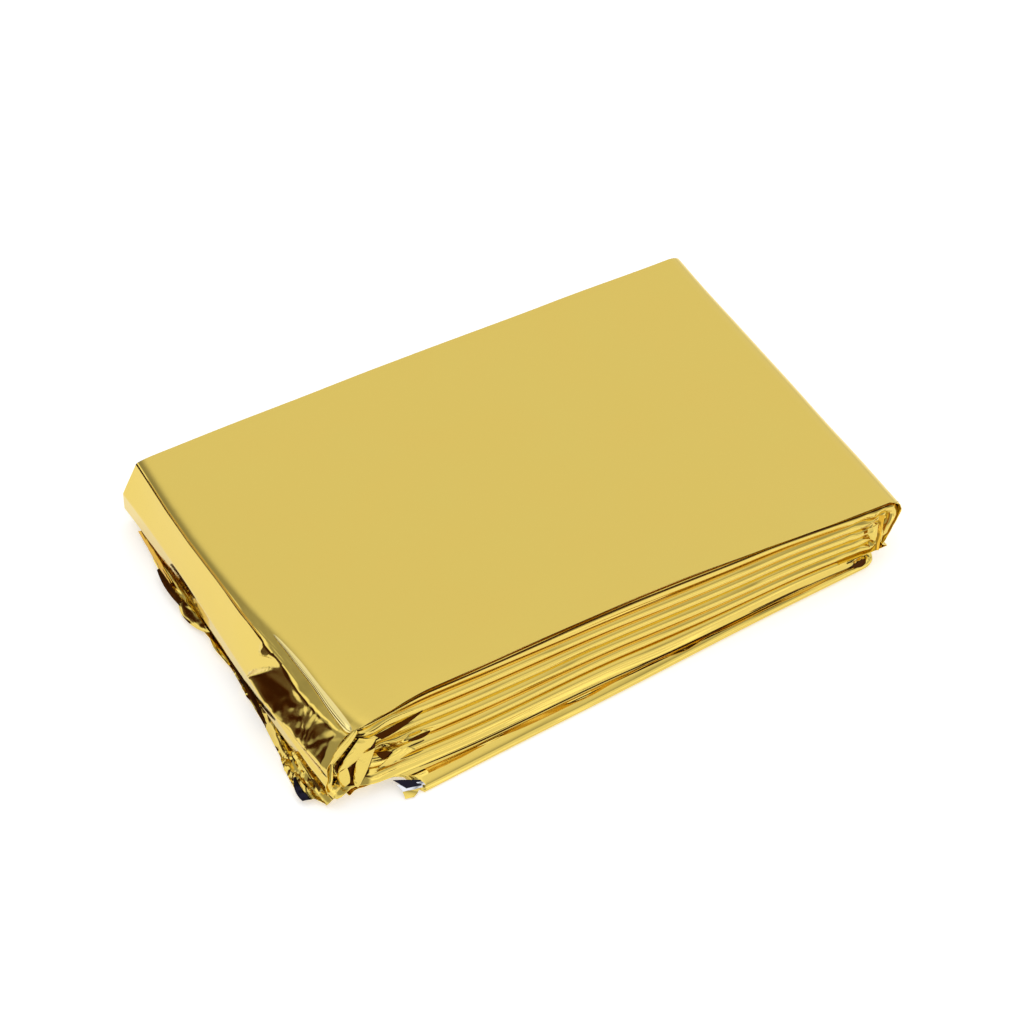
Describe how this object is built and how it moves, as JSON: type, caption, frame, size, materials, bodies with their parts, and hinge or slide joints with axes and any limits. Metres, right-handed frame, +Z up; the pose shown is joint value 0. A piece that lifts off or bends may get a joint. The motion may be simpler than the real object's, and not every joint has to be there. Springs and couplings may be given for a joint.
{
  "type": "folded emergency foil blanket",
  "caption": "Thin metallised film blanket folded flat into a small packet, with a leaning end flap and its free end showing under it.",
  "frame": {"origin": "middle of the packet's box, on the surface that it rests on", "axes": "+X along the packet's length, with the flap at the -X end; +Y from the stepped front to the back; +Z up through the layers"},
  "size_m": [0.1302, 0.092, 0.0156],
  "materials": {
    "gold_film": "vacuum metallised polyester film, gold side out, silver inside, mirror gloss with soft creases"
  },
  "bodies": {
    "root": {"foil_blanket": "gold_film"}
  },
  "joints": []
}
